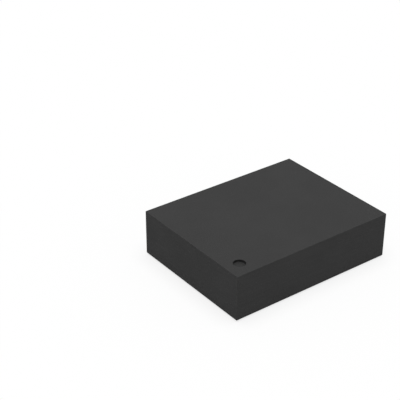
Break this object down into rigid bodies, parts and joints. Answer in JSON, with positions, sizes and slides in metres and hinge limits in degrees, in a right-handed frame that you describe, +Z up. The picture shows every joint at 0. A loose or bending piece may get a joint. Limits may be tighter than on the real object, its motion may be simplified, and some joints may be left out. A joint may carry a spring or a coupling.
{
  "type": "mems oscillator",
  "caption": "Small surface-mount MEMS oscillator: a low dark moulded block with solder lands underneath and a round pin 1 dimple on top.",
  "frame": {"origin": "centre of the underside's footprint, on the seating plane that the lands rest on", "axes": "+X along the body's length, +Y along its width, +Z up through the marked top face; pin 1 is at -X, -Y"},
  "size_m": [0.0032, 0.0024, 0.0009],
  "materials": {
    "moulding_compound": "fine matte, dark grey, as moulded and sawn",
    "plated_copper": "matte pale plating over copper",
    "attach_film": "thin amber film",
    "silicon": "polished dark blue-grey",
    "seal_glass": "fused tan bead",
    "gold_wire": "bright drawn wire"
  },
  "bodies": {
    "root": {"mould_body": "moulding_compound", "terminal_1": "plated_copper", "terminal_2": "plated_copper", "terminal_3": "plated_copper", "terminal_4": "plated_copper", "chip_film": "attach_film", "oscillator_chip": "silicon", "resonator_film": "attach_film", "resonator_base": "silicon", "seal_ring": "seal_glass", "resonator_cap": "silicon", "resonator_ring": "silicon", "electrode_1": "silicon", "electrode_2": "silicon", "electrode_3": "silicon", "electrode_4": "silicon", "enable_wire": "gold_wire", "ground_wire_1": "gold_wire", "ground_wire_2": "gold_wire", "output_wire": "gold_wire", "supply_wire_1": "gold_wire", "supply_wire_2": "gold_wire", "resonator_wire_1": "gold_wire", "resonator_wire_2": "gold_wire", "resonator_wire_3": "gold_wire", "resonator_wire_4": "gold_wire"}
  },
  "joints": []
}
